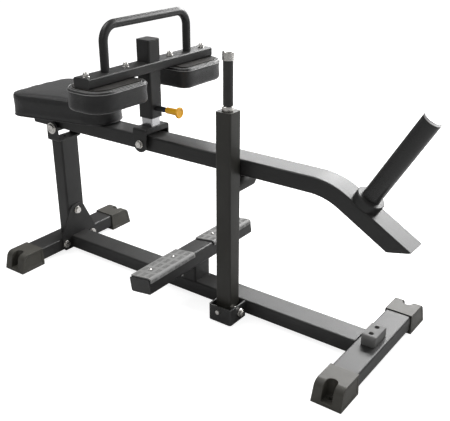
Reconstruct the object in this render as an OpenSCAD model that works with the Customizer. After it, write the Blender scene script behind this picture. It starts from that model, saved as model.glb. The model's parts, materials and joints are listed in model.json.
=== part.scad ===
// Seated calf raise machine: a rocking lever on a T-shaped base, with a seat over the pivot,
// height-adjustable thigh pads on a chrome post, a swing-out catch and a weight horn.
// Millimetres, +X toward the weight horn, +Z up, floor at z = 0, origin under the middle.

/* [Base] */
// Width of the crossbars and the main beam
base_w = 75; // [70:1:82]
// Height of the crossbars and the main beam
base_h = 45; // [40:1:52]
// Wall of the frame tubes
tube_wall = 3; // [2:0.5:4]
// Outer corner radius of the frame tubes
tube_r = 6; // [4.5:0.5:8]
// Height of the base tubes above the floor
base_lift = 12; // [9:1:20]
// Width of the machine over its feet
base_span = 520; // [440:5:600]
// Distance from the post's front face to the front crossbar
beam_reach = 1100.7; // [1060:5:1180]

/* [Feet] */
// Length of a foot along the crossbar
foot_len = 95; // [85:1:110]
// Depth of the socket that takes the crossbar's end
foot_socket = 42; // [30:1:45]
// Thickness of the foot over the tube
foot_skin = 3; // [2:0.5:5]
// Extra width of the foot at the floor
foot_flare = 5.4; // [2:0.2:8]
// Slope of the foot's end face
foot_slope = 12; // [0:1:18]
// Radius on the foot's top end
foot_round = 22; // [10:1:26]
// Width of the notch over the floor bolt
notch_w = 30; // [24:1:36]
// Depth of the notch, measured at the floor
notch_len = 42; // [34:1:46]
// Thickness of the foot under the notch
notch_floor = 10; // [6:1:16]
// Floor bolt hole
floor_hole_d = 11; // [8:0.5:13]

/* [Post and junction] */
// Depth of the seat post along X
post_d = 50; // [44:1:54]
// Width of the seat post
post_w = 75; // [70:1:82]
// Height of the seat post's top end
post_top = 402; // [340:1:440]
// Thickness of the junction plate
plate_t = 5; // [4:0.5:8]
// Height of the junction plate's top edge
plate_top = 165; // [150:1:200]
// Width of the junction plate
plate_w = 152; // [140:1:170]
// Width of the junction plate's flat top
plate_top_w = 34; // [26:1:50]
// Bolt size of the junction
joint_bolt_d = 12; // [10:1:14]
// Distance of the lower junction bolts from the middle
lower_bolt_y = 62; // [54:1:64]
// Height of the upper junction bolt
upper_bolt_z = 143; // [120:1:148]

/* [Pivot] */
// Distance of the pivot behind the post's front face
pivot_back = 25; // [22:0.5:28]
// Height of the pivot above the post
pivot_rise = 45; // [41:1:60]
// Width over the clevis
clevis_w = 100; // [96:1:112]
// Depth of the clevis along X
clevis_d = 50; // [44:1:56]
// Sheet thickness of the clevis
clevis_t = 5; // [4:0.5:6]
// Axle diameter
axle_d = 16; // [12:0.5:18]
// Running clearance of the axle and the pivot bolts, on the radius
run_gap = 0.05; // [0.02:0.01:0.1]
// Outer diameter of the pivot barrel
barrel_d = 30; // [27:0.5:34]
// Wall of the pivot barrel
barrel_wall = 3.5; // [2.5:0.25:4]
// Thickness of the bush flanges
flange_t = 1.5; // [1:0.25:2.5]
// Diameter of the axle's end caps
axle_cap_d = 39; // [34:0.5:44]
// Thickness of the axle's end caps
axle_cap_t = 9; // [7:0.5:12]

/* [Lever] */
// Width of the lever tube
lever_w = 75; // [70:1:80]
// Height of the lever tube
lever_h = 47; // [42:1:52]
// Height of the lever's middle above the pivot
lever_rise = 23; // [20:0.5:28]
// Distance of the lever's rear end behind the post's front face
lever_back = 125; // [100:1:140]
// Distance from the post's front face to the start of the bend
bend_reach = 938.3; // [900:0.1:980]
// Radius of the bend on the tube's middle
bend_r = 190; // [150:1:230]
// Angle of the tail under the lever
bend_a = 30.5; // [24:0.5:36]
// Straight length along the tail's top
tail_len = 209.5; // [180:0.5:240]
// Slope of the cut at the tail's end
end_cut = 12.9; // [5:0.1:20]

/* [Weight horn] */
// Diameter of the weight horn
horn_d = 50; // [46:0.5:52]
// Distance of the horn's middle from the bend, along the tail
horn_at = 43.7; // [42:0.1:100]
// Length of the horn above the tail
horn_len = 283; // [200:1:320]
// Diameter of the horn's collar
collar_d = 78; // [64:1:90]
// Height of the horn's collar
collar_h = 24; // [15:1:40]
// Thickness of the horn's end cap
horn_cap_t = 7; // [5:0.5:12]

/* [Seat] */
// Distance of the rear corner centres behind the post's front face
seat_back = 85; // [78:1:100]
// Distance of the rear corner centres from the middle
seat_corner_y = 87; // [78:1:95]
// Radius of the rear corners
seat_corner_r = 45; // [40:1:52]
// Distance of the front circle's centre ahead of the post's front face
seat_front = 140; // [128:1:150]
// Radius of the seat's front
seat_front_r = 80; // [70:1:88]
// Bow of the rear edge
seat_bow = 5.4; // [2:0.2:10]
// Height of the cushion at its edge
seat_h = 76; // [66:1:84]
// Rise of the seat's crown over its edge
seat_crown = 4; // [3:0.5:9]
// Rounding of the seat's edges
seat_round = 9; // [7:0.5:11]
// Thickness of the seat and pad boards
board_t = 12; // [9:0.5:15]
// Cover's turn-in beside the boards
board_edge = 14; // [10:0.5:20]
// Seat bolt diameter
seat_bolt_d = 8; // [6:1:10]

/* [Mast] */
// Distance of the mast's pivot ahead of the post's front face
mast_reach = 367.8; // [330:0.1:420]
// Width over the mast bracket
bracket_w = 106; // [98:1:116]
// Length of the mast bracket along X
bracket_l = 50.5; // [46:0.5:58]
// Sheet thickness of the mast bracket
bracket_t = 5.5; // [4:0.5:7]
// Height of the bracket's top above the pivot
bracket_rise = 48; // [46:0.5:60]
// Depth of the bracket's front and rear lips
lip_h = 16; // [12:0.5:16]
// Mast pivot bolt diameter
mast_bolt_d = 12; // [10:1:14]
// Mast pivot tube diameter
mast_tube_d = 22; // [18:1:24]
// Width of the inner post
inner_w = 40; // [34:0.5:42]
// Wall of the inner post
inner_wall = 2.5; // [2:0.25:3]
// Length of the inner post
inner_len = 215; // [180:1:230]
// Offset of the inner post ahead of the mast's pivot
inner_dx = 1.7; // [0:0.1:3]
// Sliding gap of the inner post in its guides
slide_gap = 0.2; // [0.1:0.05:0.5]
// Width of the sleeve
sleeve_w = 50; // [48:0.5:56]
// Gap between the bracket and the sleeve's lower end, at rest
sleeve_gap = 29; // [27.5:0.5:40]
// Length of the sleeve without its cap
sleeve_len = 224; // [215:1:260]
// Length of the guide bush in the sleeve
guide_len = 75; // [60:1:90]
// Thickness of the guide bush's flange
guide_flange_t = 2; // [1.5:0.5:3]
// Thickness of the plastic end caps
cap_t = 4; // [3:0.5:6]

/* [Thigh pads] */
// Width of the thigh bar beyond the sleeve on each side
bar_over = 4; // [3.5:0.5:6]
// Height of the thigh bar
bar_h = 28; // [24:1:36]
// Wall of the thigh bar
bar_wall = 2.5; // [2:0.25:3]
// Height of the thigh bar's underside above the sleeve's lower end
bar_rise = 136; // [125:1:150]
// Length of the thigh bar over its end caps
bar_len = 532; // [500:1:580]
// Diameter of the handle's tube
handle_d = 25; // [20:0.5:30]
// Wall of the handle's tube
handle_wall = 2; // [1.5:0.25:3]
// Distance between the handle's legs
handle_span = 352; // [300:1:400]
// Height of the handle over the bar
handle_h = 136; // [110:1:170]
// Bend radius of the handle's corners
handle_r = 45; // [30:1:60]
// Distance of the pads' middle from the machine's middle
pad_y = 179; // [172:1:185]
// Length of a thigh pad along Y
pad_len = 208; // [190:1:214]
// Width of a thigh pad along X
pad_w = 156; // [146:1:162]
// Corner radius of a thigh pad at its inner end
pad_in_r = 32; // [26:1:40]
// Corner radius of a thigh pad at its outer end
pad_out_r = 62; // [54:1:68]
// Rounding of a thigh pad's edges
pad_round = 11; // [8:0.5:14]
// Height of a thigh pad's cushion
pad_h = 65; // [55:1:80]
// Distance between the two bolts of a pad
pad_bolt_span = 153; // [130:1:160]
// Pad bolt diameter
pad_bolt_d = 10; // [8:1:12]

/* [Locking pin] */
// Height of the pin above the sleeve's lower end
pin_rise = 26.5; // [22:0.5:40]
// Distance between the holes in the inner post
hole_pitch = 25; // [20:1:25]
// Number of holes in the inner post
hole_count = 6; // [4:1:6]
// Diameter of the pin
pin_d = 8; // [6:0.5:9]
// Travel of the pin
pin_travel = 8; // [6:0.5:8]
// Diameter of the pin's barrel
pin_barrel_d = 16; // [15:0.5:20]
// Length of the pin's barrel
pin_barrel_l = 30.5; // [29:0.5:36]
// Length of the ring behind the knob
pin_ring_l = 9.5; // [9:0.5:12]
// Length of the knob
knob_l = 49; // [44:1:60]
// Diameter of the knob's end
knob_d = 33; // [28:1:38]

/* [Catch] */
// Distance of the catch ahead of the post's front face
catch_reach = 701.5; // [660:0.5:730]
// Width of the catch upright
catch_w = 50; // [44:1:54]
// Gap between the beam and the upright
catch_gap = 2.5; // [2.5:0.5:6]
// Height of the upright's lower end
catch_low = 20; // [19:0.5:22]
// Height of the upright's top end
catch_top = 633; // [560:1:700]
// Height of the catch's pivot
catch_pivot_z = 31; // [30:0.5:33]
// Swing of the catch
catch_swing = 15; // [10:1:15]
// Sheet thickness of the catch bracket
catch_sheet = 5; // [4:0.5:6]
// Length of the catch bracket along the beam
catch_bracket_l = 80; // [78:1:90]
// Gap between the bracket and the upright, on the rear side
catch_side_gap = 5.5; // [5:0.5:7]
// Distance of the bracket's outer face from the beam
catch_bracket_out = 75.5; // [74:0.5:84]
// Lower edge of the catch bracket
catch_bracket_low = 5; // [3:0.5:10]
// Height of the catch bracket
catch_bracket_h = 51; // [46:1:56]
// Catch pivot bolt diameter
catch_bolt_d = 12; // [10:1:14]
// Diameter of the catch peg
peg_d = 45; // [40:0.5:46]
// Gap between the peg and the lever at rest
peg_gap = 12.5; // [12.5:0.5:20]
// Reach of the peg past the machine's middle
peg_over = 47; // [42:1:48]
// Rounding of the peg's end
peg_round = 9; // [7:0.5:12]
// Thickness of the ring at the peg's root
peg_ring_t = 3.5; // [2:0.5:5]
// Diameter of the peg's core
peg_core_d = 26; // [20:1:30]
// Diameter of the grip
grip_d = 27; // [24:0.5:32]
// Length of the grip
grip_len = 120; // [90:1:150]
// Height of the grip's collar
grip_collar_h = 13; // [8:1:20]
// Height of the grip's end cap
grip_cap_h = 24; // [16:1:30]
// Diameter of the grip's rod
grip_rod_d = 16; // [12:1:20]

/* [Foot rest] */
// Distance of the pedestal's rear face ahead of the post's front face
rest_reach = 507.5; // [480:0.5:540]
// Depth of the pedestal along X
rest_post_d = 50; // [45:1:56]
// Height of the foot bar's middle
rest_z = 134; // [115:1:160]
// Tilt of the foot bar
rest_tilt = 8; // [0:1:15]
// Depth of the foot bar along X
rest_bar_w = 75; // [70:1:85]
// Height of the foot bar
rest_bar_h = 46; // [40:1:54]
// Length of the foot bar over its caps
rest_len = 506; // [460:2:560]
// Distance of a tread's inner end from the middle
tread_in = 48.5; // [40:0.5:70]
// Distance of a tread's outer end from the bar's end
tread_edge = 4; // [4:0.5:20]
// Thickness of the treads
tread_t = 4; // [3:0.5:6]
// Depth that the treads reach down the bar's front
tread_wrap = 12; // [8:1:16]
// Distance of the tread screws from the tread's ends
tread_screw_in = 50; // [30:5:80]

/* [Bumper] */
// Width of the bumper along X
bumper_w = 42; // [36:1:50]
// Length of the bumper along Y
bumper_l = 80; // [70:1:100]
// Height of the bumper
bumper_h = 29; // [22:1:36]
// Distance between the bumper's screws
bumper_screw_span = 36; // [30:1:44]
// Bumper screw diameter
bumper_screw_d = 6; // [5:0.5:7]

/* [Hidden] */

$fn = 64;
eps = 0.01;
// Clearances: a piece pushed into another, a hole round its bolt, a soft piece over a hard one
fit_gap = 0.05;
hole_gap = 0.3;
soft_gap = 0.3;

// Frame heights
base_z = base_lift + base_h / 2;
base_top = base_lift + base_h;
pivot_z = post_top + pivot_rise;
lever_z = pivot_z + lever_rise;
lever_top = lever_z + lever_h / 2;
lever_low = lever_z - lever_h / 2;

// Bend, tail and horn, with x from the post's front face
bend_out_r = bend_r + lever_h / 2;
tail_dx = bend_reach + bend_out_r * sin(bend_a);
tail_z = lever_z - bend_r + bend_out_r * cos(bend_a);
horn_dx = tail_dx + horn_at * cos(bend_a);
horn_z = tail_z - horn_at * sin(bend_a);
cap_bevel = 1.5;
horn_tip_dx = horn_dx + (horn_len + horn_cap_t - cap_bevel) * sin(bend_a)
    + horn_d / 2 * cos(bend_a);

// The post's front face stands where the origin falls under the middle of the machine
face_x = (seat_back + seat_corner_r + seat_bow - horn_tip_dx) / 2;

rear_x = face_x - base_w / 2;
front_x = face_x + beam_reach + base_w / 2;
post_x = face_x - post_d / 2;
pivot_x = face_x - pivot_back;
bend_x = face_x + bend_reach;
tail_x = face_x + tail_dx;
horn_x = face_x + horn_dx;
tail_end_x = tail_x + tail_len * cos(bend_a);
tail_end_z = tail_z - tail_len * sin(bend_a);
lever_x = face_x - lever_back;
bar_half = base_span / 2 - foot_len + foot_socket;

// Bolts: head and nut height, washer thickness, and widths as shares of the bolt's size
function hex_w(d) = 1.6 * d;
function head_h(d) = 0.55 * d;
function washer_w(d) = 2.1 * d;
washer_t = 2;

// Pivot
clevis_in = clevis_w / 2 - clevis_t;
bend_in_r = 2;
bush_r = barrel_d / 2 - barrel_wall;
side_gap = 0.4;
barrel_half = clevis_in - flange_t - side_gap;
bush_len = 20;
notch_sides = 24;

// Seat
seat_z = lever_top + soft_gap;
seat_side_a = acos((seat_corner_r - seat_front_r) / norm([seat_back + seat_front, seat_corner_y]))
    - atan(seat_corner_y / (seat_back + seat_front));
seat_bow_d = seat_corner_r + seat_bow;
seat_bow_r = (pow(seat_corner_y, 2) + pow(seat_bow_d, 2) - pow(seat_corner_r, 2))
    / (2 * (seat_bow_d - seat_corner_r));
seat_bow_a = asin(seat_corner_y / (seat_bow_r - seat_corner_r));
seat_bolt_x = [5 - seat_back, seat_front - 15];

// Mast, sleeve and thigh bar
mast_x = face_x + mast_reach;
mast_z = lever_z;
bracket_top = mast_z + bracket_rise;
bracket_in = bracket_w / 2 - bracket_t;
inner_x = mast_x + inner_dx;
inner_r = 4;
foot_plate_t = 6;
inner_top = bracket_top + inner_len;
sleeve_low = bracket_top + sleeve_gap;
sleeve_top = sleeve_low + sleeve_len;
sleeve_face = inner_x + sleeve_w / 2;
sleeve_in = sleeve_w - 2 * tube_wall;
bar_x = inner_x;
bar_w = sleeve_w + 2 * bar_over;
bar_low = sleeve_low + bar_rise;
bar_top = bar_low + bar_h;
glide_t = 3;

// Locking pin
pin_z = sleeve_low + pin_rise;
pin_tip_x = inner_x + inner_w / 2 + 0.5;
barrel_end_x = sleeve_face + pin_barrel_l;
ring_end_x = barrel_end_x + pin_ring_l;
chamber_r = pin_barrel_d / 2 - 1.8;
chamber_low_x = sleeve_face + 3;
chamber_end_x = barrel_end_x - 3;
shoulder_t = 3;
shoulder_x = chamber_low_x + pin_travel + 1.5;
spring_wire_r = 0.6;
spring_turns = 4;

// Catch
catch_x = face_x + catch_reach;
catch_y = -(base_w / 2 + catch_gap + catch_w / 2);
catch_rear_x = catch_x - catch_w / 2;
catch_front_x = catch_x + catch_w / 2;
bracket_rear_x = catch_rear_x - catch_side_gap - catch_sheet;
bracket_front_x = bracket_rear_x + catch_bracket_l;
bracket_face_y = -(base_w / 2 + catch_bracket_out);
peg_z = lever_low - peg_gap - peg_d / 2;
stop_z = catch_pivot_z + 9;
stop_tip_r = 3;
stop_tip_y = catch_y - (catch_w / 2 + sin(catch_swing) * (stop_z - catch_pivot_z + stop_tip_r))
    / cos(catch_swing) - 0.3;

// Foot rest
rest_x = face_x + rest_reach + rest_post_d / 2 - 2.5;
tread_out = rest_len / 2 - tread_edge;
tread_screw_y = [tread_in + tread_screw_in, tread_out - tread_screw_in];

// Colours
paint = [0.15, 0.15, 0.16];
dark_plastic = [0.08, 0.08, 0.09];
zinc = [0.75, 0.76, 0.78];
chrome = [0.86, 0.87, 0.89];
leather = [0.11, 0.11, 0.12];
rubber = [0.13, 0.13, 0.13];
foot_grey = [0.26, 0.25, 0.23];
wood = [0.62, 0.48, 0.32];
knob_yellow = [0.98, 0.67, 0.08];
navy = [0.1, 0.14, 0.3];

// A child drawn along +Z is turned to lie along +X, or along +Y
module along_x() rotate([90, 0, 90]) children();
module along_y() rotate([-90, 0, 0]) children();

function arc_pts(x, y, r, a0, a1, n = 4) =
    [for (i = [0:n]) let (a = a0 + (a1 - a0) * i / n) [x + r * cos(a), y + r * sin(a)]];

// Rounded rectangle round the origin
function rr_pts(w, h, r) = concat(
    arc_pts(w / 2 - r, h / 2 - r, r, 0, 90), arc_pts(r - w / 2, h / 2 - r, r, 90, 180),
    arc_pts(r - w / 2, r - h / 2, r, 180, 270), arc_pts(w / 2 - r, r - h / 2, r, 270, 360));

module rr(w, h, r) polygon(rr_pts(w, h, r));

module rr_ring(w, h, r, wall) difference() {
    rr(w, h, r);
    rr(w - 2 * wall, h - 2 * wall, max(r - wall, 1));
}

// Bent sheet seen from its end: a U that opens toward +y, with its base on y = 0
function u_pts(w, h, t, r) = concat([[-w / 2, h]], arc_pts(r - w / 2, r, r, 180, 270),
    arc_pts(w / 2 - r, r, r, 270, 360), [[w / 2, h], [w / 2 - t, h]],
    arc_pts(w / 2 - r, r, r - t, 360, 270), arc_pts(r - w / 2, r, r - t, 270, 180),
    [[t - w / 2, h]]);

// Hexagon bolt on +Z: head on z = 0 pointing down, washer under it, shank up, nut at grip
module hex_bolt(d, grip, washer = washer_t, tail = 3) {
    wide = washer_w(d) / 2;
    translate([0, 0, -washer]) cylinder(r = wide, h = washer);
    translate([0, 0, -washer - head_h(d)]) cylinder(r = hex_w(d) / 2 / cos(30), h = head_h(d), $fn = 6);
    translate([0, 0, -washer]) cylinder(d = d, h = washer + grip + washer + head_h(d) + tail);
    translate([0, 0, grip]) cylinder(r = wide, h = washer);
    translate([0, 0, grip + washer]) cylinder(r = hex_w(d) / 2 / cos(30), h = head_h(d), $fn = 6);
}

// Plug that closes a tube's end: plate on z = 0 to t, insert below it
module tube_plug(w, h, wall, r, t, depth) {
    linear_extrude(t) rr(w, h, r);
    translate([0, 0, -depth]) linear_extrude(depth)
        rr(w - 2 * wall - 2 * fit_gap, h - 2 * wall - 2 * fit_gap, max(r - wall, 1));
}

module crossbar(x) translate([x, 0, base_z]) along_y() translate([0, 0, -bar_half])
    linear_extrude(2 * bar_half) rr_ring(base_w, base_h, tube_r, tube_wall);

module rear_crossbar() color(paint) difference() {
    crossbar(rear_x);
    for (s = [-1, 1]) translate([rear_x - base_w, s * lower_bolt_y, base_z])
        along_x() cylinder(d = joint_bolt_d + 2 * hole_gap, h = 2 * base_w);
}

module front_crossbar() color(paint) difference() {
    crossbar(front_x);
    for (s = [-1, 1]) translate([front_x, s * bumper_screw_span / 2, base_z])
        cylinder(d = bumper_screw_d + 2 * hole_gap, h = base_h);
}

module main_beam() color(paint) translate([face_x + plate_t, 0, base_z]) along_x()
    linear_extrude(beam_reach - plate_t) rr_ring(base_w, base_h, tube_r, tube_wall);

// One plate behind the beam: it joins the crossbar, the post and the beam's end
module junction_plate() {
    half = plate_w / 2;
    low = base_lift - 2;
    corner = 10;
    top_half = plate_top_w / 2;
    side = [[half - corner, low], [half, low + corner], [half, base_top + 5],
        [top_half + 14, plate_top - corner], [top_half, plate_top]];
    outline = concat(side, [for (i = [len(side) - 1:-1:0]) [-side[i][0], side[i][1]]]);
    color(paint) difference() {
        translate([face_x, 0, 0]) along_x() linear_extrude(plate_t) polygon(outline);
        translate([face_x - eps, 0, upper_bolt_z]) along_x()
            cylinder(d = joint_bolt_d + 2 * hole_gap, h = plate_t + 2 * eps);
        for (s = [-1, 1]) translate([face_x - eps, s * lower_bolt_y, base_z]) along_x()
            cylinder(d = joint_bolt_d + 2 * hole_gap, h = plate_t + 2 * eps);
    }
}

module junction_bolts() color(zinc) {
    translate([face_x + plate_t, 0, upper_bolt_z]) rotate([0, -90, 0])
        hex_bolt(joint_bolt_d, plate_t + post_d);
    for (s = [-1, 1]) translate([face_x + plate_t, s * lower_bolt_y, base_z]) rotate([0, -90, 0])
        hex_bolt(joint_bolt_d, plate_t + base_w);
}

// One foot at the end of a crossbar, drawn at the +Y end of a bar on x = 0
module foot() {
    end = base_span / 2;
    inner = end - foot_len;
    top = base_top + foot_skin;
    top_half = base_w / 2 + foot_skin;
    back = top * tan(foot_slope);
    notch_back = end - notch_len + notch_w / 2;
    difference() {
        intersection() {
            translate([-base_w, 0, 0]) along_x() linear_extrude(2 * base_w) polygon(concat(
                [[inner, 0], [end, 0]],
                arc_pts(end - back - foot_round / cos(foot_slope) + foot_round * tan(foot_slope),
                    top - foot_round, foot_round, foot_slope, 90, 6),
                [[inner, top]]));
            along_y() linear_extrude(end + 1) polygon(
                [[-top_half - foot_flare / 2, 0], [top_half + foot_flare / 2, 0],
                [top_half, -top], [-top_half, -top]]);
        }
        translate([0, inner - eps, base_z]) along_y() linear_extrude(foot_socket + fit_gap + eps)
            rr(base_w + 2 * fit_gap, base_h + 2 * fit_gap, tube_r);
        translate([0, notch_back, notch_floor]) cylinder(d = notch_w, h = top);
        translate([-notch_w / 2, notch_back, notch_floor]) cube([notch_w, foot_len, top]);
        translate([0, notch_back, -eps]) cylinder(d = floor_hole_d, h = top);
    }
}

module feet() color(foot_grey) for (x = [rear_x, front_x], s = [0, 1])
    translate([x, 0, 0]) mirror([0, s, 0]) foot();

module seat_post() color(paint) difference() {
    translate([post_x, 0, base_top]) linear_extrude(post_top - base_top)
        rr_ring(post_d, post_w, tube_r, tube_wall);
    translate([post_x - post_d, 0, upper_bolt_z]) along_x()
        cylinder(d = joint_bolt_d + 2 * hole_gap, h = 2 * post_d);
}

// Outline of a flange whose end is rounded about a hole at the origin, running up to h
module round_flange(w, h) {
    circle(d = w);
    translate([-w / 2, 0]) square([w, h]);
}

module post_clevis() color(paint) difference() {
    intersection() {
        translate([pivot_x - clevis_d / 2, 0, post_top]) along_x() linear_extrude(clevis_d)
            polygon(u_pts(clevis_w, pivot_rise + clevis_d, clevis_t, clevis_t + bend_in_r));
        translate([pivot_x, -clevis_w, pivot_z]) along_y() linear_extrude(2 * clevis_w)
            round_flange(clevis_d, pivot_rise);
    }
    translate([pivot_x, -clevis_w, pivot_z]) along_y()
        cylinder(d = axle_d + 2 * fit_gap, h = 2 * clevis_w);
    translate([pivot_x, 0, post_top - 1]) cylinder(d = 10, h = clevis_t + 2);
}

axle_seat = 4;

module pivot_axle() color(zinc) translate([pivot_x, 0, pivot_z]) along_y()
    translate([0, 0, -clevis_w / 2 - axle_seat]) cylinder(d = axle_d, h = clevis_w + 2 * axle_seat);

module axle_caps() color(zinc) {
    r = axle_cap_d / 2;
    t = axle_cap_t;
    bore = axle_d / 2 + fit_gap;
    profile = [[bore, 0], [r, 0], [r, t - 6], [r - 1, t - 5], [r - 4.5, t - 5], [r - 5.5, t - 1.5],
        [r - 7, t], [bore, t], [bore - 1, t - 1], [0, t - 1], [0, axle_seat + fit_gap],
        [bore, axle_seat + fit_gap]];
    for (s = [0, 1]) translate([pivot_x, 0, pivot_z]) mirror([0, s, 0]) along_y()
        translate([0, 0, clevis_w / 2]) rotate_extrude() polygon(profile);
}

module pivot_barrel() color(paint) translate([pivot_x, 0, pivot_z]) along_y()
    translate([0, 0, -barrel_half]) difference() {
        cylinder(d = barrel_d, h = 2 * barrel_half);
        translate([0, 0, -eps]) cylinder(r = bush_r, h = 2 * barrel_half + 2 * eps);
    }

module pivot_bushes() color(knob_yellow * 0.7) for (s = [0, 1])
    translate([pivot_x, 0, pivot_z]) mirror([0, s, 0]) along_y() rotate_extrude() polygon(
        [[axle_d / 2 + run_gap, barrel_half - bush_len], [bush_r - 0.02, barrel_half - bush_len],
        [bush_r - 0.02, barrel_half], [barrel_d / 2, barrel_half],
        [barrel_d / 2, barrel_half + flange_t], [axle_d / 2 + run_gap, barrel_half + flange_t]]);

// Moves a child from the tail's own frame: x down the tail's top, z out of it
module on_tail() translate([tail_x, 0, tail_z]) rotate([0, bend_a, 0]) children();

// Everything under the slanted cut at the tail's end
module under_cut(up = 0) translate([tail_end_x, -lever_w, tail_end_z]) rotate([0, -end_cut, 0])
    translate([-2 * lever_h - 60, 0, up - 150]) cube([4 * lever_h + 120, 2 * lever_w, 150]);

// Section of the lever tube at a place along it, a being how far the tube has turned down
function lever_ring(x, z, a, w, h, r) =
    [for (p = rr_pts(w, h, r)) [x + p[1] * sin(a), p[0], z + p[1] * cos(a)]];

bend_steps = 12;

// Solid along the lever, through the bend and past the tail's end, over longer at the rear
module lever_solid(w, h, r, over = 0) {
    start = lever_x + cap_t - over;
    turn = [for (i = [0:bend_steps]) let (a = bend_a * i / bend_steps)
        [bend_x + bend_r * sin(a), lever_z - bend_r + bend_r * cos(a), a]];
    l = tail_len + lever_h;
    tip = [turn[bend_steps][0] + l * cos(bend_a), turn[bend_steps][1] - l * sin(bend_a), bend_a];
    stations = concat([[start, lever_z, 0]], turn, [tip]);
    skin([for (t = stations) lever_ring(t[0], t[1], t[2], w, h, r)],
        [start, 0, lever_z], [tip[0], 0, tip[1]]);
}

module lever_tube() color(paint) difference() {
    lever_solid(lever_w, lever_h, tube_r);
    lever_solid(lever_w - 2 * tube_wall, lever_h - 2 * tube_wall, tube_r - tube_wall, 5);
    under_cut();
    translate([pivot_x, -lever_w, pivot_z]) along_y() linear_extrude(2 * lever_w)
        polygon(arc_pts(0, 0, (barrel_d / 2 + fit_gap) / cos(180 / notch_sides),
        0, 360 - 360 / notch_sides, notch_sides - 1));
    translate([mast_x, -lever_w, mast_z]) along_y()
        cylinder(d = mast_tube_d + 2 * fit_gap, h = 2 * lever_w);
    for (x = seat_bolt_x) translate([face_x + x, 0, lever_low - 1])
        cylinder(d = seat_bolt_d + 2 * hole_gap, h = lever_h + 2);
}

module lever_rear_plug() color(dark_plastic) translate([lever_x + cap_t, 0, lever_z])
    rotate([0, -90, 0]) tube_plug(lever_h, lever_w, tube_wall, tube_r, cap_t, 14);

module lever_end_plate() color(paint) difference() {
    intersection() {
        on_tail() translate([0, 0, -lever_h / 2]) along_x() linear_extrude(tail_len + lever_h)
            rr(lever_w - 2 * tube_wall - 2 * fit_gap, lever_h - 2 * tube_wall - 2 * fit_gap,
            tube_r - tube_wall);
        under_cut(tube_wall);
    }
    under_cut();
}

module on_horn() translate([horn_x, 0, horn_z]) rotate([0, bend_a, 0]) children();

horn_skin = 2;
horn_core_r = horn_d / 2 - horn_skin;

module horn_collar() color(paint) on_horn() rotate_extrude() polygon(
    [[horn_core_r + fit_gap, 0], [collar_d / 2, 0], [collar_d / 2, collar_h - 2],
    [collar_d / 2 - 2, collar_h], [horn_core_r + fit_gap, collar_h]]);

module horn_core() color(zinc) on_horn() difference() {
    cylinder(r = horn_core_r, h = horn_len);
    translate([0, 0, tube_wall]) cylinder(r = horn_core_r - 4, h = horn_len);
}

module horn_sleeve() color(dark_plastic) on_horn() translate([0, 0, collar_h]) difference() {
    cylinder(d = horn_d, h = horn_len - collar_h);
    translate([0, 0, -eps]) cylinder(r = horn_core_r + fit_gap, h = horn_len);
}

module horn_end_cap() color(chrome) on_horn() translate([0, 0, horn_len]) rotate_extrude() polygon(
    [[0, -18], [horn_core_r - 4 - fit_gap, -18], [horn_core_r - 4 - fit_gap, 0], [horn_d / 2, 0],
    [horn_d / 2, horn_cap_t - cap_bevel], [horn_d / 2 - cap_bevel, horn_cap_t], [0, horn_cap_t]]);

// Outline points [x, y, direction of the outward normal], anticlockwise
function arc_nodes(x, y, r, a0, a1, n) =
    [for (i = [0:n]) let (a = a0 + (a1 - a0) * i / n) [x + r * cos(a), y + r * sin(a), a]];
function between(p, q, n) = [for (i = [1:n]) p + (q - p) * i / (n + 1)];

seat_half = let (rear_a = 180,
    front = arc_nodes(seat_front, 0, seat_front_r, 0, seat_side_a, 9),
    rear = arc_nodes(-seat_back, seat_corner_y, seat_corner_r, seat_side_a, rear_a - seat_bow_a, 9),
    bow = arc_nodes(seat_bow_r - seat_bow_d - seat_back, 0, seat_bow_r, rear_a - seat_bow_a, rear_a, 4))
    concat(front, between(front[9], rear[0], 4), rear, [bow[1], bow[2], bow[3], bow[4]]);
seat_outline = concat(seat_half,
    [for (i = [len(seat_half) - 2:-1:1]) [seat_half[i][0], -seat_half[i][1], -seat_half[i][2]]]);

// Thigh pad on the far side, with tighter corners at its inner end
pad_outline = let (hx = pad_w / 2, hy = pad_len / 2, a = pad_out_r, b = pad_in_r,
    q1 = arc_nodes(hx - a, hy - a, a, 0, 90, 8), q2 = arc_nodes(a - hx, hy - a, a, 90, 180, 8),
    q3 = arc_nodes(b - hx, b - hy, b, 180, 270, 8), q4 = arc_nodes(hx - b, b - hy, b, 270, 360, 8))
    concat(q1, between(q1[8], q2[0], 2), q2, between(q2[8], q3[0], 4), q3,
    between(q3[8], q4[0], 4), q4, between(q4[8], [q1[0][0], q1[0][1], 360], 4));

function inset(outline, d, z) = [for (p = outline) [p[0] - d * cos(p[2]), p[1] - d * sin(p[2]), z]];
function shrink(ring, c, s, z) =
    [for (p = ring) [c[0] + (p[0] - c[0]) * s, c[1] + (p[1] - c[1]) * s, z]];

// Closed skin through rings of equally many points, from the first ring's middle to the last's
module skin(rings, first, last) {
    n = len(rings[0]);
    m = len(rings);
    points = concat([first], [for (r = rings) each r], [last]);
    faces = concat(
        [for (j = [0:n - 1]) [0, 1 + j, 1 + (j + 1) % n]],
        [for (i = [0:m - 2], j = [0:n - 1]) let (a = 1 + i * n, b = a + n, k = (j + 1) % n)
            each [[a + j, b + j, b + k], [a + j, b + k, a + k]]],
        [for (j = [0:n - 1]) [1 + m * n, 1 + (m - 1) * n + (j + 1) % n, 1 + (m - 1) * n + j]]);
    polyhedron(points, faces);
}

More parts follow.
